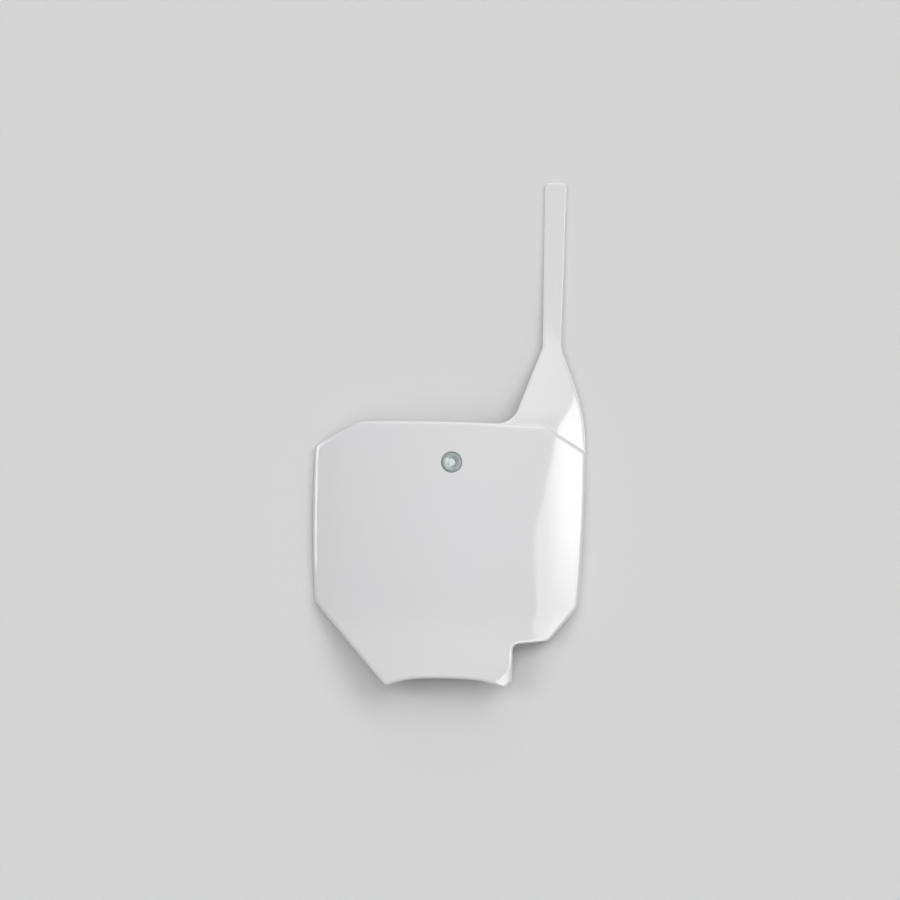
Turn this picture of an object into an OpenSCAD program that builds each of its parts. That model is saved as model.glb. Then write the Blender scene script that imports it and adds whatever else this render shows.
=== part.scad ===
// Racing number board for the front of a motorbike: one curved plastic moulding with a
// turned-back rim, a strap that leaves its upper right corner, and a steel collar in its screw seat.
// Millimetres. The face looks along +Z, the strap points along +Y, and the origin is the middle of
// the mouth of the screw hole. The board lies on its back, on its side rims and the strap's tip.

/* [Panel outline] */
// Width between the upper side corners
upper_w = 243.8; // [222:1:262]
// Width between the lower side corners
lower_w = 237.6; // [216:1:256]
// Bow of each side between its corners
side_bow = 1.6; // [0:0.1:4]
// Length of the top edge, between its two corners
top_w = 168; // [140:1:196]
// Width between the two lower corners
foot_w = 108.2; // [90:1:126]
// Height of the top edge above the screw hole, at its middle
top_h = 36.4; // [30:0.2:48]
// Fall of the top edge from its middle to its corners
top_fall = 1.9; // [0:0.1:4]
// Height of the upper side corners above the screw hole
upper_h = 12; // [4:0.5:18]
// Depth of the lower side corners below the screw hole
lower_h = 128; // [110:1:142]
// Depth of the lower corners below the screw hole
foot_h = 202.4; // [190:1:220]
// Rise of the hollow bottom edge at its middle
foot_rise = 8.8; // [2:0.2:16]

/* [Panel corners] */
// Radius of the top corners
top_corner_r = 20; // [10:1:28]
// Radius of the upper side corners
upper_corner_r = 7; // [6:0.5:14]
// Radius of the lower side corners
lower_corner_r = 16; // [8:1:24]
// Radius that is left inside the rim at the small lower corners
small_corner_r = 1; // [0.5:0.1:2]

/* [Panel form] */
// Thickness of the moulding
wall = 2.2; // [1.6:0.1:3]
// Radius of the bend across the panel
bend_r = 236; // [200:1:500]
// Radius of the crown along the panel
crown_r = 1100; // [700:10:4000]
// Depth of the crown's highest line below the screw hole
crown_h = 48; // [10:1:90]
// Depth below the screw hole at which the bottom lip turns forward
lip_h = 145; // [130:1:170]
// Length over which the lip turns
lip_turn = 26; // [10:1:50]
// Angle that the lip turns forward
lip_angle = 8.5; // [0:0.5:15]
// Radius of the rounded front edge of the rim
rim_r = 2.2; // [1:0.1:2.3]
// Depth of the turned-back rim behind the face
rim_depth = 6.5; // [5.4:0.1:12]
// Radius inside the rim, where it meets the back of the face
rim_inner_r = 0.9; // [0.4:0.1:2]

/* [Cable notch] */
// Distance from the centre line to the notch's upright edge
notch_x = 59.8; // [59:0.2:66]
// Depth of the notch's upper edge below the screw hole, at the upright edge
notch_h = 162.2; // [156:0.2:172]
// Rise of the notch's upper edge along its length
notch_rise = 3.6; // [0:0.1:6]
// Radius in the notch's inner corner
notch_r = 6; // [3:0.5:9]

/* [Strap] */
// Distance from the centre line to the strap's middle
strap_x = 88.8; // [84:0.2:94]
// Width of the strap at its neck
neck_w = 16.4; // [12:0.2:20]
// Width of the strap at its tip
tip_w = 20; // [14:0.2:26]
// Height of the strap's neck above the screw hole
neck_h = 106; // [98:1:122]
// Radius of the bends at the neck
neck_r = 25; // [10:1:40]
// Height of the strap's tip above the screw hole
tip_h = 254; // [220:1:300]
// Thickness of the strap
strap_t = 2.5; // [1.8:0.1:2.8]
// Radius of the strap's tip corners
tip_corner_r = 3; // [2:0.1:6]
// Distance from the centre line to where the strap's flare leaves the top edge
flare_x = 40; // [24:1:50]
// Radius of the fillet between the top edge and the flare
flare_r = 20; // [10:1:28]
// Radius of the flare's outer edge
turn_in_r = 160; // [100:1:220]
// Depth of the strap's face behind the panel's face
step = 2.5; // [2.4:0.1:3]
// Angle at which the flare falls back
flare_tilt = 9.2; // [5:0.1:14]
// Angle at which the strap falls back above its neck
strap_tilt = 2.6; // [0:0.1:5]

/* [Screw seat] */
// Diameter of the screw that the collar takes
screw_d = 6; // [4:0.5:8]
// Gap around the screw in the collar
screw_gap = 0.5; // [0.2:0.1:1]
// Wall of the collar's tube
collar_wall = 1.3; // [0.8:0.1:2]
// Gap around the collar's tube in the moulding
collar_gap = 0.1; // [0.05:0.05:0.3]
// Width of the collar's flange beyond its tube
flange_w = 3.4; // [2.6:0.1:5]
// Thickness of the collar's flange
flange_t = 1.6; // [1.2:0.1:2.4]
// Depth of the dish in the flange
dish_depth = 0.6; // [0.2:0.1:0.8]
// Width of the flat land round the dish
land_w = 1.7; // [0.8:0.1:2.2]
// Gap between the flange and the wall of its seat
seat_gap = 1.1; // [0.4:0.1:2]
// Depth of the flange's face below the panel's face
seat_sink = 0.8; // [0.2:0.1:2]
// Radius of the rounded lip of the seat
seat_lip_r = 1.2; // [0.6:0.1:1.6]
// Thickness of the collar's rolled end behind the moulding
roll_t = 1; // [0.8:0.1:2]
// Width of the rolled end beyond the tube
roll_w = 1.3; // [0.8:0.1:2]
// Bevel on the collar's outer edges
collar_bevel = 0.3; // [0.1:0.1:0.4]

/* [Hidden] */

// Share of the panel's height at which its rings have their middle
centre_share = 0.42;

// Fineness of the meshes: longest side of the outline, turn for each side of a corner, and rings
side_len = 11;
corner_step = 18;
face_rings = 7;
back_rings = 5;
rim_steps = 3;
edge_steps = 4;
fillet_steps = 2;
flare_rows = 14;
strap_rows = 11;
fade_rows = 5;
$fn = 64;

// Screw seat and collar, measured from the mouth of the hole at height 0
bore_r = screw_d / 2 + screw_gap;
tube_r = bore_r + collar_wall;
flange_r = tube_r + flange_w;
seat_z = dish_depth - flange_t;
seat_r = flange_r + seat_gap;
face_z = dish_depth + seat_sink;
boss_r = seat_r + wall;
boss_z = seat_z - wall;
roll_z = boss_z - roll_t;
seat_lip_turn = 60;
seat_lip_step = 15;
seat_slope = 90 - seat_lip_turn;
cut_over = 5;

// Corners of the panel's right side
top_corner = [top_w / 2, top_h - top_fall];
upper_corner = [upper_w / 2, upper_h];
lower_corner = [lower_w / 2, -lower_h];
foot_corner = [foot_w / 2, -foot_h];
small_r = max(wall + rim_inner_r, rim_r) + small_corner_r;
face_centre = [0, (top_h - foot_h) * centre_share];

// Small helpers
function unit(v) = v / norm(v);
function flip(p) = [-p.x, p.y];
function left_of(v) = [-v.y, v.x];
function last(list) = list[len(list) - 1];
function flat(lists) = [for (list = lists) each list];
function ease(t) = let (u = min(1, max(0, t))) u * u * (3 - 2 * u);
function short_way(a) = a > 180 ? a - 360 : a < -180 ? a + 360 : a;
function y_on(p, q, x) = p.y + (q.y - p.y) * (x - p.x) / (q.x - p.x);
function x_on(p, q, y) = p.x + (q.x - p.x) * (y - p.y) / (q.y - p.y);

// A ramp of slope 1 from d = 0 on, with a soft start from -soft to soft
function ramp(d, soft) = d <= -soft ? 0 : d >= soft ? d : (d + soft) * (d + soft) / (4 * soft);

// Points of an arc about c, from angle a to angle b
function arc(c, r, a, b) = let (n = max(2, ceil(abs(b - a) / corner_step)))
    [for (i = [0 : n]) let (t = a + (b - a) * i / n) c + r * [cos(t), sin(t)]];

// Arc of radius r that rounds corner b between its neighbours a and c
function rounded(a, b, c, r) =
    let (u = unit(a - b), v = unit(c - b), half = acos(u * v) / 2,
         middle = b + unit(u + v) * r / sin(half),
         from = b + u * r / tan(half) - middle, to = b + v * r / tan(half) - middle,
         start = atan2(from.y, from.x))
    arc(middle, r, start, start + short_way(atan2(to.y, to.x) - start));

// Angle on the circle about c at which a line from p touches it, clockwise of p
function touch(c, r, p) = let (d = p - c) atan2(d.y, d.x) - acos(r / norm(d));

// Lengths run along a path, up to each of its points
function run_of(path) = [for (i = 0, s = 0; i < len(path);
    s = s + (i < len(path) - 1 ? norm(path[i + 1] - path[i]) : 0), i = i + 1) s];

// Points at n + 1 even shares of a path's length
function spaced(path, n) = let (run = run_of(path))
    [for (k = [0 : n]) let (want = last(run) * k / n,
        i = k == n ? len(path) - 2 : max([for (j = [0 : len(path) - 2]) if (run[j] <= want) j]))
        path[i] + unit(path[i + 1] - path[i]) * (want - run[i])];

// Path with its sides cut into pieces of at most side_len
function cut_up(path) = concat(
    flat([for (i = [0 : len(path) - 2]) let (n = ceil(norm(path[i + 1] - path[i]) / side_len))
        [for (k = [0 : n - 1]) path[i] + (path[i + 1] - path[i]) * k / n]]),
    [last(path)]);

// Bowed edges of the panel, and points on them from the foot up and from right to left
side_parts = 8;
flare_parts = 4;
top_parts = 12;
foot_parts = 8;
function on_side(t) = lower_corner + (upper_corner - lower_corner) * t + [side_bow * 4 * t * (1 - t), 0];
function on_top(x) = [x, top_h - top_fall * pow(x / top_corner.x, 2)];
function on_foot(x) = [x, -foot_h + foot_rise * (1 - pow(x / foot_corner.x, 2))];
side_points = [for (i = [1 : side_parts - 1]) on_side(i / side_parts)];
foot_points = [for (i = [1 : foot_parts - 1]) on_foot(foot_corner.x * (2 * i / foot_parts - 1))];
top_right = [for (i = [1 : flare_parts])
    on_top(top_corner.x + (flare_x - top_corner.x) * i / flare_parts)];
top_left = [for (i = [1 : top_parts - 1]) on_top(flare_x - (top_corner.x + flare_x) * i / top_parts)];

// Corners of the notch, which cuts the lower right slope
notch_low = [notch_x, y_on(foot_corner, lower_corner, notch_x)];
notch_in = [notch_x, -notch_h];
notch_high_y = notch_rise - notch_h;
notch_high = [x_on(foot_corner, lower_corner, notch_high_y), notch_high_y];

// Outline, anticlockwise: first the strap's root, up the right slope and along the top to the flare
root = cut_up(concat(
    rounded(last(side_points), upper_corner, top_corner, upper_corner_r),
    rounded(upper_corner, top_corner, top_right[0], top_corner_r),
    top_right));
rest = cut_up(concat(
    [last(root)], top_left,
    rounded(last(top_left), flip(top_corner), flip(upper_corner), top_corner_r),
    rounded(flip(top_corner), flip(upper_corner), flip(last(side_points)), upper_corner_r),
    [for (i = [len(side_points) - 1 : -1 : 0]) flip(side_points[i])],
    rounded(flip(side_points[0]), flip(lower_corner), flip(foot_corner), lower_corner_r),
    rounded(flip(lower_corner), flip(foot_corner), foot_points[0], small_r),
    foot_points,
    rounded(last(foot_points), foot_corner, notch_low, small_r),
    rounded(foot_corner, notch_low, notch_in, small_r),
    rounded(notch_low, notch_in, notch_high, notch_r),
    rounded(notch_in, notch_high, lower_corner, small_r),
    rounded(notch_high, lower_corner, side_points[0], lower_corner_r),
    side_points, [root[0]]));
outline = concat(root, [for (i = [1 : len(rest) - 2]) rest[i]]);
sides = len(outline);
outward = [for (i = [0 : sides - 1])
    -left_of(unit(outline[(i + 1) % sides] - outline[(i + sides - 1) % sides]))];

// Height of the panel's face: a bend across, a crown along, and a lip that turns forward
face_top = face_z + crown_h * crown_h / (2 * crown_r);
function bend_fall(x) = bend_r - sqrt(bend_r * bend_r - x * x);
function crown_fall(y) = (y + crown_h) * (y + crown_h) / (2 * crown_r);
function lip_lift(y) = tan(lip_angle) * ramp(-lip_h - y, lip_turn / 2);
function panel_z(p) = face_top - bend_fall(p.x) - crown_fall(p.y) + lip_lift(p.y);

// Upright depth of the wall, which keeps its thickness where the face leans
function wall_depth(x) = wall * bend_r / sqrt(bend_r * bend_r - x * x);

// Height of the strap's face: it follows the panel behind the step, falls back over the flare,
// turns flatter at the neck and ends level
flare_bend_soft = 9;
flare_bend_h = top_h + flare_bend_soft;
neck_bend_soft = 12;
neck_bend_over = 8;
neck_bend_h = neck_h + neck_bend_over;
level_soft = 50;
level_len = 4;
level_h = tip_h - level_soft - level_len;
crown_slope = (top_h + crown_h) / crown_r;
function strap_fall(y) = y < top_h ? crown_fall(y)
    : crown_fall(top_h) + crown_slope * (y - top_h)
      + (tan(flare_tilt) - crown_slope) * ramp(y - flare_bend_h, flare_bend_soft)
      + (tan(strap_tilt) - tan(flare_tilt)) * ramp(y - neck_bend_h, neck_bend_soft)
      - tan(strap_tilt) * ramp(y - level_h, level_soft);
function lean(y) = 1 - ease((y - top_h) / (level_h - top_h));
function strap_z(p) = face_top - step - strap_fall(p.y) - bend_fall(strap_x)
    - lean(p.y) * (bend_fall(p.x) - bend_fall(strap_x));

// Rings of the panel: the outline drawn in by inset, or further in towards the middle by share
function ring(inset, depth, share = 1, walls = 0) = [for (i = [0 : sides - 1])
    let (p = face_centre + (outline[i] - outward[i] * inset - face_centre) * share)
    [p.x, p.y, panel_z(p) - depth - walls * wall_depth(p.x)]];

// All rings, from the middle of the face over the rim to the middle of the back
rings = concat(
    [for (k = [1 : face_rings]) ring(rim_r, 0, k / face_rings)],
    [for (k = [1 : rim_steps]) let (a = 90 * k / rim_steps)
        ring(rim_r * (1 - sin(a)), rim_r * (1 - cos(a)))],
    [for (k = [0 : edge_steps]) ring(0, step + strap_t * k / edge_steps)],
    [ring(0, rim_depth), ring(wall, rim_depth)],
    [for (k = [0 : fillet_steps]) let (a = 90 * k / fillet_steps)
        ring(wall + rim_inner_r * (1 - cos(a)), rim_inner_r * (1 - sin(a)), 1, 1)],
    [for (k = [back_rings - 1 : -1 : 1]) ring(wall + rim_inner_r, 0, k / back_rings, 1)]);
root_ring = face_rings + rim_steps;

// Edges of the strap in plan, each from the panel's outline to the tip
tip_flat = 0.5;
tip_r = max(tip_corner_r, strap_t / 2 + tip_flat);
function edge_path(flare, neck, tip, beyond) =
    let (bend = rounded(last(flare), neck, tip, neck_r), corner = rounded(neck, tip, beyond, tip_r),
         straight = spaced([last(bend), corner[0]], strap_rows))
    concat(spaced(concat(flare, bend), flare_rows),
           [for (i = [1 : strap_rows]) straight[i]],
           [for (i = [1 : len(corner) - 1]) corner[i]]);
neck_left = [strap_x - neck_w / 2, neck_h];
neck_right = [strap_x + neck_w / 2, neck_h];
tip_left = [strap_x - tip_w / 2, tip_h];
tip_right = [strap_x + tip_w / 2, tip_h];
flare_c = last(root) + [0, flare_r];
turn_c = upper_corner - [turn_in_r, 0];
left_edge = edge_path(arc(flare_c, flare_r, -90, touch(flare_c, flare_r, neck_left)),
                      neck_left, tip_left, tip_right);
right_edge = edge_path(concat([root[0]], arc(turn_c, turn_in_r, 0, touch(turn_c, turn_in_r, neck_right))),
                       neck_right, tip_right, tip_left);
rows = len(left_edge) - 1;

// Outward direction of an edge at row j, where side is 1 on the left edge and -1 on the right one
function edge_out(edge, side, j) = j == rows ? [0, 1]
    : side * left_of(unit(edge[j + 1] - edge[max(0, j - 1)]));

// Face points of row j from the right edge to the left one: the root's shape fades to straight rows
edge_r = strap_t / 2;
root_n = len(root) - 1;
shares = run_of(root) / last(run_of(root));
function row_points(j) =
    let (r = right_edge[j] - edge_out(right_edge, -1, j) * edge_r,
         l = left_edge[j] - edge_out(left_edge, 1, j) * edge_r,
         fade = pow(max(0, 1 - j / fade_rows), 2))
    [for (i = [0 : root_n]) let (s = shares[i],
        p = r + (l - r) * s + fade * (root[i] - root[0] - (last(root) - root[0]) * s))
        [p.x, p.y, strap_z(p)]];

// Point of the rounded edge beside face point p, turned by angle a from the face to the back
function edge_point(p, out, a) =
    [p.x + out.x * edge_r * sin(a), p.y + out.y * edge_r * sin(a), p.z - edge_r * (1 - cos(a))];

// Closed loop of points round row j: face, left edge, back and right edge
edge_angles = [for (q = [1 : edge_steps - 1]) 180 * q / edge_steps];
function loop(j) = let (face = row_points(j), left_out = edge_out(left_edge, 1, j),
                        right_out = edge_out(right_edge, -1, j))
    concat(face,
           [for (a = edge_angles) edge_point(last(face), left_out, a)],
           [for (i = [root_n : -1 : 0]) face[i] - [0, 0, strap_t]],
           [for (a = edge_angles) edge_point(face[0], right_out, 180 - a)]);

// Numbers of the points: middle of the face, rings, middle of the back, loops, and the tip's end
loop_n = 2 * (root_n + edge_steps);
back_middle = 1 + len(rings) * sides;
tip_start = back_middle + 1 + rows * loop_n;
function ring_at(k, i) = 1 + k * sides + i % sides;

// The loop of row 0 is the band of the rim that the strap grows out of
function root_at(l) =
    l <= root_n ? ring_at(root_ring, l)
    : l < root_n + edge_steps ? ring_at(root_ring + l - root_n, root_n)
    : l <= 2 * root_n + edge_steps ? ring_at(root_ring + edge_steps, 2 * root_n + edge_steps - l)
    : ring_at(root_ring + loop_n - l, 0);
function loop_at(j, l) = let (m = l % loop_n) j == 0 ? root_at(m) : back_middle + 1 + (j - 1) * loop_n + m;

// The tip's end is a grid between the last loop's face and back
function tip_at(q, i) =
    q == 0 ? loop_at(rows, i)
    : q == edge_steps ? loop_at(rows, 2 * root_n + edge_steps - i)
    : i == root_n ? loop_at(rows, root_n + q)
    : i == 0 ? loop_at(rows, loop_n - q)
    : tip_start + (q - 1) * (root_n - 1) + i - 1;

function four(a, b, c, d) = [[a, b, c], [a, c, d]];
function under_root(k, i) = k >= root_ring && k < root_ring + edge_steps && i < root_n;

// The moulding as one closed skin
module moulding() {
    tip_face = row_points(rows);
    points = concat(
        [[face_centre.x, face_centre.y, panel_z(face_centre)]], flat(rings),
        [[face_centre.x, face_centre.y, panel_z(face_centre) - wall_depth(0)]],
        flat([for (j = [1 : rows]) loop(j)]),
        flat([for (a = edge_angles) [for (i = [1 : root_n - 1]) edge_point(tip_face[i], [0, 1], a)]]));
    faces = concat(
        [for (i = [0 : sides - 1]) [0, ring_at(0, i + 1), ring_at(0, i)]],
        [for (k = [0 : len(rings) - 2], i = [0 : sides - 1]) if (!under_root(k, i))
            each four(ring_at(k, i), ring_at(k, i + 1), ring_at(k + 1, i + 1), ring_at(k + 1, i))],
        [for (i = [0 : sides - 1])
            [back_middle, ring_at(len(rings) - 1, i), ring_at(len(rings) - 1, i + 1)]],
        [for (j = [0 : rows - 1], l = [0 : loop_n - 1])
            each four(loop_at(j, l), loop_at(j, l + 1), loop_at(j + 1, l + 1), loop_at(j + 1, l))],
        [for (q = [0 : edge_steps - 1], i = [0 : root_n - 1])
            each four(tip_at(q, i), tip_at(q, i + 1), tip_at(q + 1, i + 1), tip_at(q + 1, i))]);
    polyhedron(points, faces, convexity = 6);
}

// What is cut for the collar: its seat with a rounded lip, and the hole for its tube
module seat_cut() {
    lip_z = face_z - seat_lip_r;
    lip = [for (a = [0 : seat_lip_step : seat_lip_turn])
        [seat_r + seat_lip_r * (1 - cos(a)), lip_z + seat_lip_r * sin(a)]];
    rotate_extrude()
        polygon(concat([[0, seat_z], [seat_r, seat_z]], lip,
                       [last(lip) + cut_over * [cos(seat_slope), sin(seat_slope)],
                        [0, last(lip).y + cut_over * sin(seat_slope)]]));
    translate([0, 0, boss_z - cut_over])
        cylinder(r = tube_r + collar_gap, h = seat_z - boss_z + 2 * cut_over);
}

// Number plate: the moulding with the boss behind its screw seat
module number_plate() {
    color("white")
        difference() {
            union() {
                moulding();
                translate([0, 0, boss_z])
                    cylinder(r = boss_r, h = face_z - wall / 2 - boss_z);
            }
            seat_cut();
        }
}

// Collar: a dished flange on the seat, a tube, and an end rolled over behind the boss
module screw_collar() {
    dish_r = flange_r - land_w;
    color([0.66, 0.71, 0.72])
        rotate_extrude()
            polygon([
                [bore_r, 0], [dish_r, dish_depth], [flange_r - collar_bevel, dish_depth],
                [flange_r, dish_depth - collar_bevel], [flange_r, seat_z],
                [tube_r, seat_z], [tube_r, boss_z], [tube_r + roll_w, boss_z],
                [tube_r + roll_w, roll_z + collar_bevel], [tube_r + roll_w - collar_bevel, roll_z],
                [bore_r, roll_z]]);
}

number_plate();
screw_collar();
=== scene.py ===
import math

import bmesh
import bpy
import numpy as np
from mathutils import Matrix, Vector
from mathutils.geometry import delaunay_2d_cdt

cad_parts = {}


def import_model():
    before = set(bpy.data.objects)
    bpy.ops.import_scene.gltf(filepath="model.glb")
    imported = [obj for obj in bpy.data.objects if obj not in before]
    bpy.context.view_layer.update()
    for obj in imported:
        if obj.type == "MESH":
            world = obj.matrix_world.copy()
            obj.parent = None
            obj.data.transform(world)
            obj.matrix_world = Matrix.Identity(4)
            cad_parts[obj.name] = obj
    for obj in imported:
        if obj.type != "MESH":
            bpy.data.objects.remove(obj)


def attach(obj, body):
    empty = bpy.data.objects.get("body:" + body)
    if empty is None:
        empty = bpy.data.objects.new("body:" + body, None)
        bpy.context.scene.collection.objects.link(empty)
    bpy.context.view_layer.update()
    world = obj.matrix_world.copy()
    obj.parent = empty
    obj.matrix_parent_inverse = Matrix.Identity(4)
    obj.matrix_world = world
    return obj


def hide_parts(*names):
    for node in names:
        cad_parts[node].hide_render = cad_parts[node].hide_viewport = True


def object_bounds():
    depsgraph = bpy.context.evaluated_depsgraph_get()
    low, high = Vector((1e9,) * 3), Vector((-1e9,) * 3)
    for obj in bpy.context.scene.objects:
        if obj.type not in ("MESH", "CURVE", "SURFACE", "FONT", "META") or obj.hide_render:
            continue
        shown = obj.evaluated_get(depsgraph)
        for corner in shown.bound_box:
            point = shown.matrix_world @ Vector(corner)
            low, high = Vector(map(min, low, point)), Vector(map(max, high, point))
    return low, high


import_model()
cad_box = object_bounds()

MM = 0.001

# Panel outline: widths, heights above or below the screw hole, bows and corner radii
UPPER_W, LOWER_W, TOP_W, FOOT_W = 243.8, 237.6, 168.0, 108.2
TOP_H, UPPER_H, LOWER_H, FOOT_H = 36.4, 12.0, 128.0, 202.4
SIDE_BOW, TOP_FALL, FOOT_RISE, FOOT_POWER = 1.6, 1.9, 8.3, 3
TOP_CORNER_R, UPPER_CORNER_R, LOWER_CORNER_R, SMALL_R = 20.0, 7.0, 16.0, 4.1

# Panel form: wall, bend from side to side, crown from top to foot and how far down it is highest
WALL, BEND_R, CROWN_R, CROWN_H = 2.2, 236.0, 1100.0, 48.0

# Lip at the foot, which turns up over LIP_TURN about LIP_H
LIP_H, LIP_TURN, LIP_ANGLE = 145.0, 26.0, 8.5

# Foot's right corner, turned back beyond a line whose far side faces CORNER_WAY
CORNER_X, CORNER_H, CORNER_WAY, CORNER_ANGLE, CORNER_SOFT = 49.5, 190.5, -42.0, 15.0, 2.5
CORNER_START_H, CORNER_FULL_H = 166.5, 180.5

# Rim: depth and reach of its outer rounding, whole depth, fillet behind the wall, end's rounding
RIM_R, RIM_REACH, RIM_DEPTH, RIM_INNER_R, RIM_END_R = 2.2, 3.4, 6.5, 0.9, 0.7

# Notch
NOTCH_X, NOTCH_H, NOTCH_RISE, NOTCH_R = 59.8, 162.2, 3.6, 6.0

# Strap outline, thickness and step below the panel's face
STRAP_X, NECK_W, TIP_W, NECK_H, NECK_R, TIP_H = 88.8, 16.4, 20.0, 106.0, 25.0, 254.0
STRAP_T, TIP_R, FLARE_X, FLARE_R, TURN_IN_R, STEP = 2.5, 4.0, 40.0, 20.0, 160.0, 2.5
EDGE_REACH, EDGE_GROWTH = 2.2, 0.6

# Strap's fall: its slopes, where it is level, and half the length of each turn between them
FLARE_TILT, STRAP_TILT, LEVEL_H = 9.2, 2.6, 200.0
FLARE_TURN, NECK_SHIFT, NECK_TURN, LEVEL_TURN = 9, 8, 12, 50

# Screw seat, boss and collar
BORE_R, TUBE_R, FLANGE_R, SEAT_R, BOSS_R = 3.5, 4.8, 8.2, 9.3, 11.5
FACE_Z, DISH_Z, SEAT_Z, BOSS_Z, ROLL_Z = 1.4, 0.6, -1.0, -3.2, -4.2
LIP_R, HOLE_GAP, ROLL_W, LAND_W = 1.2, 0.1, 1.3, 1.7
SEAT_FOOT_R, CHAMFER, BOSS_EDGE_R, BOSS_ROOT_R, BOSS_ROOT_START = 0.3, 0.15, 0.6, 1.5, 15
FACE_TOP = FACE_Z + CROWN_H ** 2 / (2 * CROWN_R)

# Fineness: sides and turns of paths, grids of sheets, parts of turned forms, points of edges
SIDE_LEN, ROOT_LEN, TURN_STEP, SAME_POINT = 3.0, 0.5, 6.0, 0.02
PANEL_GRID, STRAP_GRID, SEAT_PARTS, COLLAR_PARTS, BAND_N = 3.6, 3.0, 96, 128, 10
SIDE_N, FOOT_N, TOP_RIGHT_N, TOP_LEFT_N = 33, 37, 12, 40
RIM_N, RIM_END_N, RIM_INNER_N, LIP_N, SEAT_FOOT_N, BOSS_EDGE_N, BOSS_ROOT_N = 11, 5, 6, 8, 4, 5, 6

# What corners leave of an edge: share of a side, share of half the foot, length at the top
SIDE_END, FOOT_END, TOP_END = 1 / 8, 0.9, 11

# An edge is sharp where its faces turn by more than this
SHARP = 38


# Plane helpers
def unit(v):
    return v / np.linalg.norm(v)


def flip(p):
    return np.array([-p[0], p[1]])


def tan(angle):
    return math.tan(math.radians(angle))


def y_on(p, q, x):
    """Height at x on the line through p and q."""
    return p[1] + (q[1] - p[1]) * (x - p[0]) / (q[0] - p[0])


def quarter(n, start=0):
    """1 - cos and 1 - sin of n angles up to a quarter turn: the two ways along a rounding."""
    return [(1 - math.cos(a), 1 - math.sin(a)) for a in np.radians(np.linspace(start, 90, n))]


def arc(c, r, a, b):
    t = np.radians(np.linspace(a, b, max(2, math.ceil(abs(b - a) / TURN_STEP)) + 1))
    return np.column_stack([c[0] + r * np.cos(t), c[1] + r * np.sin(t)])


def rounded(a, b, c, r):
    """Arc of radius r that rounds corner b between its neighbours a and c."""
    u, v = unit(a - b), unit(c - b)
    half = math.acos(u @ v) / 2
    middle = b + unit(u + v) * r / math.sin(half)
    ends = [b + w * r / math.tan(half) - middle for w in (u, v)]
    start, end = (math.degrees(math.atan2(d[1], d[0])) for d in ends)
    return arc(middle, r, start, start + (end - start + 180) % 360 - 180)


def cut_up(*parts, step=SIDE_LEN):
    """One path through the parts, without double points, its sides cut to at most step."""
    path = np.vstack([np.atleast_2d(p) for p in parts])
    keep = [path[0]]
    for p in path[1:]:
        start = keep[-1]
        length = np.linalg.norm(p - start)
        if length > SAME_POINT:
            n = math.ceil(length / step)
            keep += [start + (p - start) * k / n for k in range(1, n + 1)]
    return np.array(keep)


def outward_of(path, closed):
    """Unit normals to the right of a path."""
    if closed:
        along = np.roll(path, -1, axis=0) - np.roll(path, 1, axis=0)
    else:
        along = np.vstack([path[1] - path[0], path[2:] - path[:-2], path[-1] - path[-2]])
    along /= np.linalg.norm(along, axis=1)[:, None]
    return np.column_stack([along[:, 1], -along[:, 0]])


def distance(points, path):
    """Distance of each point from an open path."""
    best = np.full(len(points), np.inf)
    for start, way in zip(path[:-1], np.diff(path, axis=0)):
        t = np.clip((points - start) @ way / (way @ way), 0, 1)
        best = np.minimum(best, np.linalg.norm(points - start - t[:, None] * way, axis=1))
    return best


def inside(points, loop):
    """Which points lie in a closed loop."""
    hit = np.zeros(len(points), bool)
    for p, q in zip(loop, np.roll(loop, -1, axis=0)):
        if p[1] != q[1]:
            x = p[0] + (points[:, 1] - p[1]) * (q[0] - p[0]) / (q[1] - p[1])
            hit ^= ((p[1] > points[:, 1]) != (q[1] > points[:, 1])) & (points[:, 0] < x)
    return hit


# Heights of the panel's face and of the strap's face
def ramp(d, soft):
    """0 below -soft and d above soft, with a smooth turn between."""
    return np.where(d <= -soft, 0, np.where(d >= soft, d, (d + soft) ** 2 / (4 * soft)))


def bend_fall(x):
    return BEND_R - np.sqrt(BEND_R ** 2 - np.square(x))


def crown_fall(y):
    return (y + CROWN_H) ** 2 / (2 * CROWN_R)


def corner_fall(x, y):
    """Turn-back of the foot's right corner, the one beside the notch."""
    a = math.radians(CORNER_WAY)
    out = (x - CORNER_X) * math.cos(a) + (y + CORNER_H) * math.sin(a)
    below = np.clip((-CORNER_START_H - y) / (CORNER_FULL_H - CORNER_START_H), 0, 1)
    return tan(CORNER_ANGLE) * ramp(out, CORNER_SOFT) * below


def panel_z(x, y):
    return (FACE_TOP - bend_fall(x) - crown_fall(y) - corner_fall(x, y)
            + tan(LIP_ANGLE) * ramp(-LIP_H - y, LIP_TURN / 2))


def wall_depth(x):
    """The wall's thickness straight down, where the panel leans."""
    return WALL * BEND_R / np.sqrt(BEND_R ** 2 - np.square(x))


def strap_z(x, y):
    root_slope = (TOP_H + CROWN_H) / CROWN_R
    flare_slope, strap_slope = tan(FLARE_TILT), tan(STRAP_TILT)
    above = (crown_fall(TOP_H) + root_slope * (y - TOP_H)
             + (flare_slope - root_slope) * ramp(y - TOP_H - FLARE_TURN, FLARE_TURN)
             + (strap_slope - flare_slope) * ramp(y - NECK_H - NECK_SHIFT, NECK_TURN)
             - strap_slope * ramp(y - LEVEL_H, LEVEL_TURN))
    u = np.clip((y - TOP_H) / (LEVEL_H - TOP_H), 0, 1)
    lean = 1 - u * u * (3 - 2 * u)
    return (FACE_TOP - STEP - np.where(y < TOP_H, crown_fall(y), above) - bend_fall(STRAP_X)
            - lean * (bend_fall(x) - bend_fall(STRAP_X)))


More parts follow.
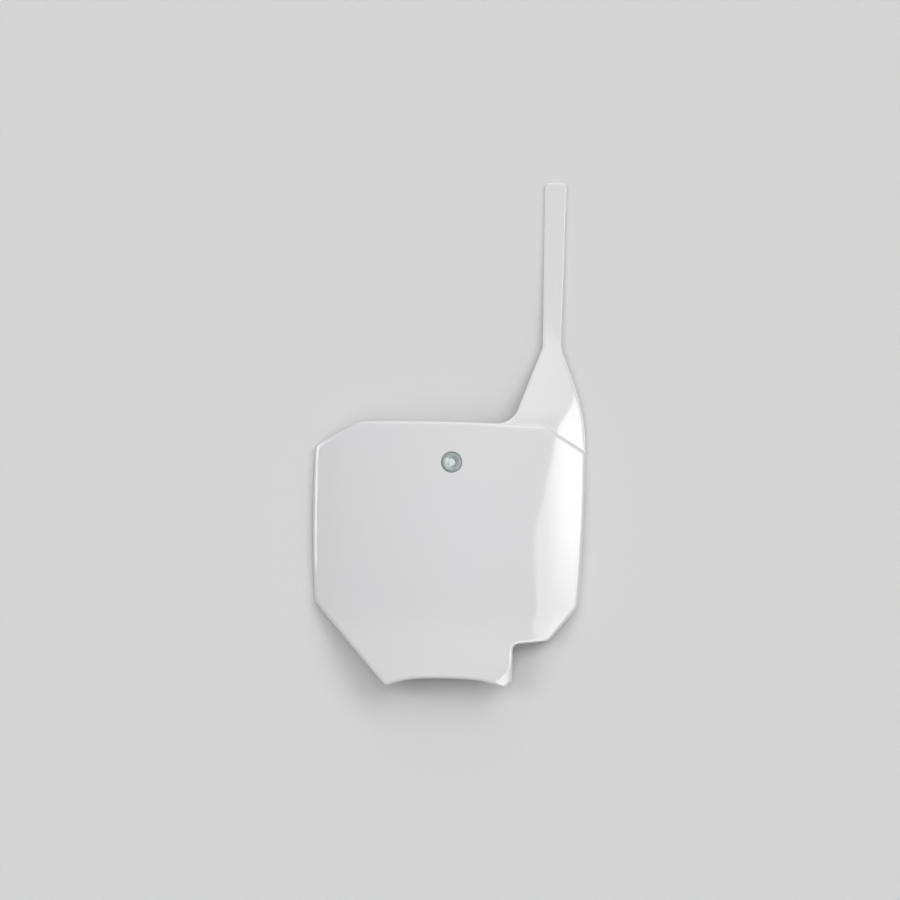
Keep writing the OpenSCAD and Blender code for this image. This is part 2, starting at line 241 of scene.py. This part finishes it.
# Outline: its corners, its curved edges, and the path from the right side over the top and round
top_corner, upper_corner = np.array([TOP_W / 2, TOP_H - TOP_FALL]), np.array([UPPER_W / 2, UPPER_H])
lower_corner, foot_corner = np.array([LOWER_W / 2, -LOWER_H]), np.array([FOOT_W / 2, -FOOT_H])
share = np.linspace(SIDE_END, 1 - SIDE_END, SIDE_N)
side = lower_corner + np.outer(share, upper_corner - lower_corner)
side[:, 0] += SIDE_BOW * 4 * share * (1 - share)


def top_edge(x0, x1, n):
    x = np.linspace(x0, x1, n)
    return np.column_stack([x, TOP_H - TOP_FALL * (x / top_corner[0]) ** 2])


across = np.linspace(-FOOT_END, FOOT_END, FOOT_N)
foot_y = -FOOT_H + FOOT_RISE * (1 - abs(across) ** FOOT_POWER)
foot = np.column_stack([foot_corner[0] * across, foot_y])
top_right = top_edge(TOP_W / 2 - TOP_END, FLARE_X, TOP_RIGHT_N)
top_left = top_edge(FLARE_X, TOP_END - TOP_W / 2, TOP_LEFT_N)[1:]
notch_y = NOTCH_RISE - NOTCH_H
notch_low = np.array([NOTCH_X, y_on(foot_corner, lower_corner, NOTCH_X)])
notch_in = np.array([NOTCH_X, -NOTCH_H])
notch_high = np.array([y_on(foot_corner[::-1], lower_corner[::-1], notch_y), notch_y])

root = cut_up(rounded(side[-1], upper_corner, top_corner, UPPER_CORNER_R),
              rounded(upper_corner, top_corner, top_right[0], TOP_CORNER_R), top_right)
rest = cut_up(root[-1], top_left,
              rounded(top_left[-1], flip(top_corner), flip(upper_corner), TOP_CORNER_R),
              rounded(flip(top_corner), flip(upper_corner), flip(side[-1]), UPPER_CORNER_R),
              side[::-1] * [-1, 1],
              rounded(flip(side[0]), flip(lower_corner), flip(foot_corner), LOWER_CORNER_R),
              rounded(flip(lower_corner), flip(foot_corner), foot[0], SMALL_R), foot,
              rounded(foot[-1], foot_corner, notch_low, SMALL_R),
              rounded(foot_corner, notch_low, notch_in, SMALL_R),
              rounded(notch_low, notch_in, notch_high, NOTCH_R),
              rounded(notch_in, notch_high, lower_corner, SMALL_R),
              rounded(notch_high, lower_corner, side[0], LOWER_CORNER_R), side, root[0])
outline = np.vstack([root, rest[1:-1]])
outward = outward_of(outline, True)
ROOT = len(root) - 1


def put(name, data):
    """A new object in the scene."""
    obj = bpy.data.objects.new(name, data)
    bpy.context.scene.collection.objects.link(obj)
    return obj


class Skin:
    """A mesh that grows by points and faces, with shared point numbers."""

    def __init__(self):
        self.points, self.faces = [], []

    def add(self, points):
        start = len(self.points)
        self.points += [tuple(p) for p in points]
        return list(range(start, start + len(points)))

    def band(self, a, b, closed=True, skip=()):
        """Four-sided faces between two rows of point numbers."""
        n = len(a)
        for i in range(n if closed else n - 1):
            if i not in skip:
                j = (i + 1) % n
                self.faces.append((a[i], a[j], b[j], b[i]))

    def sheet(self, loops, height, grid, extra=(), flip_it=False):
        """Fills the first loop of point numbers around the others, with inner points at their
        height. Thin triangles between points of the loops are left out."""
        same, thin = 1e-7, 1e-4
        borders = [np.array([self.points[i][:2] for i in loop]) for loop in loops]
        inner = inner_points(borders, extra, grid)
        raised = np.column_stack([inner, height(inner[:, 0], inner[:, 1])])
        ids = [i for loop in loops for i in loop] + self.add(raised)
        flat = np.vstack(borders + [inner])
        edges, start = [], 0
        for loop in loops:
            n = len(loop)
            edges += [(start + k, start + (k + 1) % n) for k in range(n)]
            start += n
        _, _, faces, origin, _, _ = delaunay_2d_cdt([Vector(p) for p in flat], edges, [], 0, same)
        at = np.array([[origin[i][0] for i in f] for f in faces])
        corners = flat[at]
        u, v = corners[:, 1] - corners[:, 0], corners[:, 2] - corners[:, 0]
        area = abs(u[:, 0] * v[:, 1] - u[:, 1] * v[:, 0])
        size = ((u - v) ** 2 + u * u + v * v).sum(axis=1)
        middle = corners.mean(axis=1)
        keep = inside(middle, borders[0]) & ~((area < thin * size) & (at.max(axis=1) < start))
        for hole in borders[1:]:
            keep &= ~inside(middle, hole)
        for numbers in at[keep]:
            face = [ids[i] for i in numbers]
            self.faces.append(tuple(face[::-1] if flip_it else face))


def inner_points(loops, extra, grid):
    """Points inside the first loop and outside the others: an even grid that gets finer at the
    edges, and the extra points."""
    row_pitch, fine_parts, least_gap = 0.866, 4, 0.45
    edge_zone, edge_spacing, growth, crowding = 1.2, 0.5, 0.6, 0.85
    edge = np.vstack(loops)
    low, high = loops[0].min(axis=0), loops[0].max(axis=0)

    def lattice(step):
        rows = np.arange(low[1] + step / 2, high[1], step * row_pitch)
        return np.array([(x + (k % 2) * step / 2, y) for k, y in enumerate(rows)
                         for x in np.arange(low[0] + step / 2, high[0], step)])

    def within(points, gap):
        keep = inside(points, loops[0])
        for hole in loops[1:]:
            keep &= ~inside(points, hole)
        points = points[keep]
        near = np.array([np.sqrt(((edge - p) ** 2).sum(axis=1).min()) for p in points])
        return points[near > gap], near[near > gap]

    even, _ = within(lattice(grid), grid)
    fine, gaps = within(lattice(grid / fine_parts), least_gap)
    order = np.argsort(-gaps)
    chosen = list(even) + list(extra)
    count = len(chosen)
    table = np.zeros((count + len(fine), 2))
    table[:count] = chosen
    for p, gap in zip(fine[order], gaps[order]):
        want = min(grid, edge_spacing + growth * gap)
        if gap < grid * edge_zone:
            if ((table[:count] - p) ** 2).sum(axis=1).min() > (crowding * want) ** 2:
                table[count] = p
                count += 1
    return table[:count]


def ring(inset, depth, walls=0):
    """The outline moved in by inset and down by depth and by whole walls from the face."""
    p = outline - outward * inset
    z = panel_z(p[:, 0], p[:, 1]) - depth - walls * wall_depth(p[:, 0])
    return np.column_stack([p, z])


def to_mesh(name, skin):
    """A smooth-shaded object in metres, with its sharp edges marked."""
    mesh = bpy.data.meshes.new(name)
    mesh.from_pydata([tuple(c * MM for c in p) for p in skin.points], [], skin.faces)
    bm = bmesh.new()
    bm.from_mesh(mesh)
    bmesh.ops.recalc_face_normals(bm, faces=bm.faces)
    for f in bm.faces:
        f.smooth = True
    for e in bm.edges:
        e.smooth = e.calc_face_angle(0) < math.radians(SHARP)
    bm.to_mesh(mesh)
    bm.free()
    return put(name, mesh)


def build_plate():
    skin = Skin()

    # Section of the rim, from the face over the edge to the back
    arcs = [skin.add(ring(RIM_REACH * s, RIM_R * c)) for c, s in quarter(RIM_N)]
    band_depth = STEP + STRAP_T - RIM_R
    band = [arcs[-1]] + [skin.add(ring(0, RIM_R + band_depth * k / BAND_N))
                         for k in range(1, BAND_N + 1)]
    end = quarter(RIM_END_N)
    tail = [ring(RIM_END_R * c, RIM_DEPTH - RIM_END_R * s) for c, s in end]
    tail += [ring(WALL - RIM_END_R * s, RIM_DEPTH - RIM_END_R * c) for c, s in end]
    tail += [ring(WALL + RIM_INNER_R * c, RIM_INNER_R * s, 1) for c, s in quarter(RIM_INNER_N)]
    rings = arcs + band[1:] + [skin.add(p) for p in tail]
    for k in range(len(rings) - 1):
        in_band = len(arcs) - 1 <= k < len(arcs) - 1 + BAND_N
        skin.band(rings[k], rings[k + 1], skip=range(ROOT) if in_band else ())

    # Screw seat and boss, from the face's hole to the back's hole
    angle = np.linspace(0, 2 * math.pi, SEAT_PARTS, endpoint=False)
    circle = np.column_stack([np.cos(angle), np.sin(angle)])

    def seat_ring(r, z):
        return np.column_stack([circle * r, z if np.ndim(z) else np.full(SEAT_PARTS, z)])

    lip_at = circle * (SEAT_R + LIP_R)
    face_at = panel_z(lip_at[:, 0], lip_at[:, 1])
    rows = [seat_ring(SEAT_R + LIP_R * s, face_at - LIP_R * c) for c, s in quarter(LIP_N)]
    rows += [seat_ring(SEAT_R - SEAT_FOOT_R * c, SEAT_Z + SEAT_FOOT_R * s)
             for c, s in quarter(SEAT_FOOT_N)]
    hole = TUBE_R + HOLE_GAP
    rows += [seat_ring(hole + CHAMFER, SEAT_Z), seat_ring(hole, SEAT_Z - CHAMFER),
             seat_ring(hole, BOSS_Z + CHAMFER), seat_ring(hole + CHAMFER, BOSS_Z)]
    rows += [seat_ring(BOSS_R - BOSS_EDGE_R * s, BOSS_Z + BOSS_EDGE_R * c)
             for c, s in quarter(BOSS_EDGE_N)]
    out = circle * (BOSS_R + BOSS_ROOT_R)
    back_at = panel_z(out[:, 0], out[:, 1]) - wall_depth(out[:, 0])
    rows += [seat_ring(BOSS_R + BOSS_ROOT_R * c, back_at - BOSS_ROOT_R * s)
             for c, s in quarter(BOSS_ROOT_N, BOSS_ROOT_START)]
    rows = [skin.add(r) for r in rows]
    for a, b in zip(rows, rows[1:]):
        skin.band(a, b)

    # Face and back
    skin.sheet([arcs[0], rows[0]], panel_z, PANEL_GRID)
    skin.sheet([rings[-1], rows[-1]], lambda x, y: panel_z(x, y) - wall_depth(x), PANEL_GRID,
               flip_it=True)
    build_strap(skin, band)
    return to_mesh("number_plate_skin", skin)


def strap_path():
    """The strap's edge, from the left end of its root round the tip to the right end."""
    neck_l, neck_r = (np.array([STRAP_X + w * NECK_W / 2, NECK_H]) for w in (-1, 1))
    tip_l, tip_r = (np.array([STRAP_X + w * TIP_W / 2, TIP_H]) for w in (-1, 1))
    flare_c, turn_c = root[-1] + [0, FLARE_R], upper_corner - [TURN_IN_R, 0]

    def touch(c, r, p):
        """Where a line from p touches a circle, as an angle."""
        d = p - c
        return math.degrees(math.atan2(d[1], d[0]) - math.acos(r / np.linalg.norm(d)))

    flare = arc(flare_c, FLARE_R, -90, touch(flare_c, FLARE_R, neck_l))
    turn_in = arc(turn_c, TURN_IN_R, touch(turn_c, TURN_IN_R, neck_r), 0)
    path = cut_up(flare, rounded(flare[-1], neck_l, tip_l, NECK_R),
                  rounded(neck_l, tip_l, tip_r, TIP_R), rounded(tip_l, tip_r, neck_r, TIP_R),
                  rounded(tip_r, neck_r, turn_in[0], NECK_R), turn_in)
    return np.vstack([path, cut_up(path[-1], root[0], step=ROOT_LEN)[1:]])


def build_strap(skin, band):
    """The strap grows out of the rim's band along the root, with rounded edges that fade out
    towards the ends of the root."""
    least_reach, close_rows, edge_room = 0.03, (0.06, 0.16, 0.3, 0.9), 0.5
    path = strap_path()
    out = -outward_of(path, False)
    path, out = path[1:-1], out[1:-1]
    reach = np.minimum(EDGE_REACH, EDGE_GROWTH * distance(path, root))
    keep = reach > least_reach
    path, out, reach = path[keep], out[keep], reach[keep]
    face = path - out * reach[:, None]
    root_gap = STEP - RIM_R

    def height(x, y):
        """The strap's face, with a fillet up to the rim."""
        d = np.minimum(distance(np.column_stack([x, y]), root), root_gap)
        return strap_z(x, y) + root_gap - np.sqrt(root_gap ** 2 - (root_gap - d) ** 2)

    edge_r = STRAP_T / 2
    z = height(face[:, 0], face[:, 1])
    base = strap_z(face[:, 0], face[:, 1])
    columns = []
    for k in range(BAND_N + 1):
        a = math.pi * k / BAND_N
        level = z if k == 0 else base - edge_r * (1 - math.cos(a))
        columns.append(skin.add(np.column_stack([face + out * (reach * math.sin(a))[:, None],
                                                 level])))
    rows = [[b[ROOT]] + column + [b[0]] for b, column in zip(band, columns)]
    for a, b in zip(rows, rows[1:]):
        skin.band(a, b, closed=False)

    # Face and back, with rows of points close to the root
    root_out = outward[:ROOT + 1]
    close = np.vstack([root + root_out * d for d in close_rows])
    from_edge = distance(close, np.vstack([root[-1], face, root[0]]))
    close = close[inside(close, np.vstack([root, face])) & (from_edge > edge_room)]
    skin.sheet([band[0][:ROOT + 1] + columns[0]], height, STRAP_GRID, extra=close)
    skin.sheet([band[-1][:ROOT + 1] + columns[-1]], lambda x, y: strap_z(x, y) - STRAP_T,
               STRAP_GRID, flip_it=True)


def soften(corners, steps=4):
    """Profile with each (r, z, radius) corner rounded."""
    most = 0.45
    out = []
    for k, (r, z, radius) in enumerate(corners):
        p = np.array([r, z])
        if not radius:
            out.append(p)
            continue
        a = np.array(corners[k - 1][:2])
        c = np.array(corners[(k + 1) % len(corners)][:2])
        u, v = unit(a - p), unit(c - p)
        half = math.acos(np.clip(u @ v, -1, 1)) / 2
        reach = min(radius / math.tan(half), most * np.linalg.norm(a - p),
                    most * np.linalg.norm(c - p))
        start, end = p + u * reach, p + v * reach
        out += [(1 - s) ** 2 * start + 2 * s * (1 - s) * p + s * s * end
                for s in np.linspace(0, 1, steps + 1)]
    return [tuple(p) for p in out]


def build_collar():
    """The collar's closed profile of (radius, height), turned about the origin's upright axis."""
    profile = soften([(BORE_R, 0, 0.25), (FLANGE_R - LAND_W, DISH_Z, 0.5), (FLANGE_R, DISH_Z, 0.3),
                      (FLANGE_R, SEAT_Z, 0.12), (TUBE_R, SEAT_Z, 0), (TUBE_R, BOSS_Z, 0),
                      (TUBE_R + ROLL_W, BOSS_Z, 0.2), (TUBE_R + ROLL_W, ROLL_Z, 0.6),
                      (BORE_R, ROLL_Z, 0.15)])
    t = np.linspace(0, 2 * math.pi, COLLAR_PARTS, endpoint=False)
    skin = Skin()
    rows = [skin.add(np.column_stack([r * np.cos(t), r * np.sin(t), np.full(COLLAR_PARTS, z)]))
            for r, z in profile]
    for a, b in zip(rows, rows[1:] + rows[:1]):
        skin.band(a, b)
    return to_mesh("screw_collar_turned", skin)


# Materials
def shader(name):
    mat = bpy.data.materials.new(name)
    mat.use_nodes = True
    nodes, links = mat.node_tree.nodes, mat.node_tree.links
    return mat, nodes, links, nodes["Principled BSDF"]


def node(nodes, kind, **values):
    """A new node with its settings, or with values on its inputs of those names."""
    made = nodes.new(kind)
    for key, value in values.items():
        if key in made.inputs:
            made.inputs[key].default_value = value
        else:
            setattr(made, key, value)
    return made


def noise(nodes, links, where, scale, detail, rough=0.5):
    """Noise whose lumps are about 1 / scale metres wide."""
    made = node(nodes, "ShaderNodeTexNoise", Scale=scale, Detail=detail, Roughness=rough)
    links.new(where, made.inputs["Vector"])
    return made.outputs["Fac"]


def spread(nodes, links, value, low, high, from_low=0.3, from_high=0.7):
    """Maps a value from one range to another."""
    made = nodes.new("ShaderNodeMapRange")
    for key, number in (("From Min", from_low), ("From Max", from_high),
                        ("To Min", low), ("To Max", high)):
        made.inputs[key].default_value = number
    links.new(value, made.inputs["Value"])
    return made.outputs["Result"]


def mix(nodes, links, fac, a, b, blend="MIX"):
    """Mixes two colours. The factor and the colours are sockets or plain values."""
    made = node(nodes, "ShaderNodeMix", data_type="RGBA", blend_type=blend)
    for key, value in (("Factor", fac), ("A", a), ("B", b)):
        if isinstance(value, bpy.types.NodeSocket):
            links.new(value, made.inputs[key])
        else:
            made.inputs[key].default_value = value if key == "Factor" else (*value, 1)
    return made.outputs["Result"]


def bump(nodes, links, height, depth, strength, under=None):
    """Normal from a height that is depth metres high, over another normal."""
    made = node(nodes, "ShaderNodeBump", Strength=strength, Distance=depth)
    links.new(height, made.inputs["Height"])
    if under:
        links.new(under, made.inputs["Normal"])
    return made.outputs["Normal"]


def painted_shade_mask_in_seat(nodes, links, where):
    """1 in the gap round the collar, inside the seat's wall and above the boss's back, where
    shade is painted into the plastic's colour, and 0 elsewhere."""
    in_r, out_r = (SEAT_R - 0.1) * MM, (SEAT_R + 0.35) * MM
    back_z, front_z = (SEAT_Z - 1.5) * MM, (SEAT_Z - 1.0) * MM
    flat = node(nodes, "ShaderNodeVectorMath", operation="MULTIPLY")
    flat.inputs[1].default_value = (1, 1, 0)
    links.new(where, flat.inputs[0])
    radius = node(nodes, "ShaderNodeVectorMath", operation="LENGTH")
    links.new(flat.outputs["Vector"], radius.inputs[0])
    near = spread(nodes, links, radius.outputs["Value"], 1, 0, in_r, out_r)
    split = nodes.new("ShaderNodeSeparateXYZ")
    links.new(where, split.inputs["Vector"])
    front = spread(nodes, links, split.outputs["Z"], 0, 1, back_z, front_z)
    both = node(nodes, "ShaderNodeMath", operation="MULTIPLY")
    links.new(near, both.inputs[0])
    links.new(front, both.inputs[1])
    return both.outputs["Value"]


def plastic():
    """White polypropylene: a gloss from a polished mould, with faint flow and a fine skin, and
    painted shade: a dark colour in the gap round the collar that stands in for its shade."""
    mat, nodes, links, bsdf = shader("white polypropylene")
    where = nodes.new("ShaderNodeTexCoord").outputs["Object"]
    # The third colour is painted shade for the gap round the collar.
    white, bluish, painted_gap_shade = (0.806, 0.806, 0.811), (0.811, 0.807, 0.828), (0.42, 0.43, 0.44)
    cloud = spread(nodes, links, noise(nodes, links, where, 9, 2), 0, 1)
    speck = spread(nodes, links, noise(nodes, links, where, 900, 2), 0, 1, 0.2, 0.8)
    clouded = mix(nodes, links, cloud, white, bluish)
    specks = mix(nodes, links, speck, (0.985, 0.985, 0.985), (1, 1, 1))
    clean = mix(nodes, links, 1, clouded, specks, "MULTIPLY")
    # Painted shade: the seat's gap and floor take a dark colour in place of real shade.
    colour = mix(nodes, links, painted_shade_mask_in_seat(nodes, links, where), clean, painted_gap_shade)
    links.new(colour, bsdf.inputs["Base Color"])
    rough = spread(nodes, links, noise(nodes, links, where, 60, 3), 0.06, 0.1)
    links.new(rough, bsdf.inputs["Roughness"])
    wave = bump(nodes, links, noise(nodes, links, where, 22, 1), 0.00025, 1)
    grain = bump(nodes, links, noise(nodes, links, where, 1600, 2), 0.000002, 1, wave)
    links.new(grain, bsdf.inputs["Normal"])
    bsdf.inputs["IOR"].default_value = 1.5
    return mat


def plated_steel():
    """Turned steel with a pale blue-green zinc plating."""
    mat, nodes, links, bsdf = shader("zinc plated steel")
    where = nodes.new("ShaderNodeTexCoord").outputs["Object"]
    cloud = noise(nodes, links, where, 260, 3, 0.6)
    dark, pale = (0.29, 0.345, 0.345), (0.38, 0.43, 0.43)
    links.new(mix(nodes, links, spread(nodes, links, cloud, 0, 1), dark, pale),
              bsdf.inputs["Base Color"])
    links.new(spread(nodes, links, cloud, 0.3, 0.42), bsdf.inputs["Roughness"])
    marks = node(nodes, "ShaderNodeTexWave", wave_type="RINGS", rings_direction="Z",
                 Scale=900, Distortion=1.2, Detail=2)
    links.new(where, marks.inputs["Vector"])
    links.new(bump(nodes, links, marks.outputs["Fac"], 0.00002, 0.6), bsdf.inputs["Normal"])
    bsdf.inputs["Metallic"].default_value = 1
    return mat


plate = build_plate()
plate.data.materials.append(plastic())
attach(plate, "root")
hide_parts("number_plate")

collar = build_collar()
collar.data.materials.append(plated_steel())
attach(collar, "root")
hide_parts("screw_collar")


# Floor, light and camera, in metres
def floor():
    low, size = cad_box[0][2], 4.0
    mesh = bpy.data.meshes.new("floor")
    mesh.from_pydata([(-size, -size, low), (size, -size, low), (size, size, low),
                      (-size, size, low)], [], [(0, 1, 2, 3)])
    obj = put("floor", mesh)
    mat, nodes, links, bsdf = shader("pale floor")
    where = nodes.new("ShaderNodeTexCoord").outputs["Object"]
    cloud = noise(nodes, links, where, 3, 2)
    links.new(mix(nodes, links, cloud, (0.77, 0.77, 0.77), (0.785, 0.785, 0.785)),
              bsdf.inputs["Base Color"])
    bsdf.inputs["Roughness"].default_value = 0.9
    bsdf.inputs["Specular IOR Level"].default_value = 0.1
    obj.data.materials.append(mat)


def towards(azimuth, from_vertical):
    """Unit vector from an azimuth, with 0 along +X and 90 along +Y, and an angle from vertical."""
    a, t = math.radians(azimuth), math.radians(from_vertical)
    return Vector((math.sin(t) * math.cos(a), math.sin(t) * math.sin(a), math.cos(t)))


def soft_light(name, azimuth, from_vertical, width, strength):
    """A wide, far source of diffuse light; strength is what it adds to level ground."""
    light = bpy.data.lights.new(name, "SUN")
    light.angle = math.radians(width)
    light.energy = strength * math.pi / math.cos(math.radians(from_vertical))
    obj = put(name, light)
    obj.rotation_euler = towards(azimuth, from_vertical).to_track_quat("Z", "Y").to_euler()
    obj.visible_glossy = False


def below_hole():
    """A faint lamp close over the floor below the screw hole, because the hole shows a light
    floor."""
    light = bpy.data.lights.new("below hole", "AREA")
    light.shape = "DISK"
    light.size, light.energy, light.color = 0.008, 0.00011, (0.86, 1.0, 0.94)
    light.spread = math.radians(12)
    obj = put("below hole", light)
    obj.location = (0.0014, 0, cad_box[0][2] + 0.008)
    obj.visible_camera = obj.visible_glossy = False


def direction(along_x, along_y):
    """Unit vector from degrees towards +X and towards +Y from straight up."""
    a, b = math.radians(along_x), math.radians(along_y)
    return Vector((math.sin(a) * math.cos(b), math.sin(b), math.cos(a) * math.cos(b)))


def even(strength):
    """Levels of a reflector that is equally bright all over."""
    return (0.0, strength), (9.0, strength)


def reflector(name, points, faces, hub, levels):
    """A lit screen that shows in reflections only. Its light falls with the distance from a hub,
    between two (metres, strength) levels."""
    mesh = bpy.data.meshes.new(name)
    mesh.from_pydata([tuple(p) for p in points], [], faces)
    obj = put(name, mesh)
    mat = bpy.data.materials.new(name)
    mat.use_nodes = True
    nodes, links = mat.node_tree.nodes, mat.node_tree.links
    nodes.clear()
    gap = node(nodes, "ShaderNodeVectorMath", operation="DISTANCE")
    links.new(nodes.new("ShaderNodeTexCoord").outputs["Object"], gap.inputs[0])
    gap.inputs[1].default_value = hub
    (near, high), (far, low) = levels
    glow = nodes.new("ShaderNodeEmission")
    strength = spread(nodes, links, gap.outputs["Value"], high, low, near, far)
    links.new(strength, glow.inputs["Strength"])
    links.new(glow.outputs["Emission"], nodes.new("ShaderNodeOutputMaterial").inputs["Surface"])
    obj.data.materials.append(mat)
    obj.visible_camera = obj.visible_diffuse = False
    obj.visible_shadow = obj.visible_transmission = False


def screen(name, corners, hub, levels, away=3.6):
    """Flat reflector with its corners and its hub as direction() takes them."""
    reflector(name, [direction(*c) * away for c in corners], [tuple(range(len(corners)))],
              direction(*hub) * away, levels)


def dome(name, first, last, start, end, levels, away):
    """Reflector over a range of azimuths, between two angles from straight up."""
    turns, rises = 48, 8
    points = [away * towards(first + (last - first) * i / turns, start + (end - start) * j / rises)
              for i in range(turns + 1) for j in range(rises + 1)]
    n = rises + 1
    faces = [(i * n + j, i * n + j + 1, (i + 1) * n + j + 1, (i + 1) * n + j)
             for i in range(turns) for j in range(rises)]
    reflector(name, points, faces, direction(50, 10) * away, levels)


def camera():
    """A far camera that looks almost straight down, turned and tilted a little."""
    cam = bpy.data.cameras.new("camera")
    away, seen_across, roll, tilt = 12.0, 0.8075, math.radians(1.5), math.radians(2.0)
    aim = Vector((-0.0016, 0.0110, 0.0))
    cam.sensor_width = 36
    cam.lens = cam.sensor_width * away / seen_across
    obj = put("camera", cam)
    back = Vector((-math.sin(tilt), 0, math.cos(tilt)))
    right = Vector((math.cos(roll), math.sin(roll), 0))
    up = back.cross(right).normalized()
    right = up.cross(back)
    obj.location = aim + back * away
    obj.rotation_euler = Matrix((right, up, back)).transposed().to_euler()
    bpy.context.scene.camera = obj


def world():
    made = bpy.data.worlds.new("studio")
    bpy.context.scene.world = made
    made.use_nodes = True
    background = made.node_tree.nodes["Background"]
    background.inputs["Color"].default_value = (1, 1, 1, 1)
    background.inputs["Strength"].default_value = 0.14


floor()
world()
soft_light("overhead", 100, 10, 40, 0.195)
soft_light("left", 168, 42, 30, 0.15)
soft_light("key", 48, 44, 36, 0.21)
soft_light("top", 96, 62, 24, 0.035)
soft_light("right", 8, 58, 26, 0.035)
soft_light("low", 268, 24, 36, 0.075)
screen("softbox", [(41.0, -2.7), (64, 17.8), (80, 8), (51.5, -28.2)], (61, 2.8),
       ((0.45, 8.5), (0.95, 4.1)))
screen("low softbox", [(34, -14), (64, -14), (60, -40), (34, -40)], (50, -25), even(7.0))
screen("weak sheet", [(20, 11.8), (40, 11.8), (60, 11.8), (60, 34), (20, 34)], (40, 20), even(2.5))
dome("surround", 0, 360, 0.5, 86, ((2.0, 1.1), (8.0, 0.32)), 4.4)
dome("left strip", 158, 186, 63, 87, even(6.5), 4.0)
dome("top strip", 48, 120, 48, 82, even(3.3), 3.9)
below_hole()
camera()
bpy.context.scene.view_settings.view_transform = "Standard"
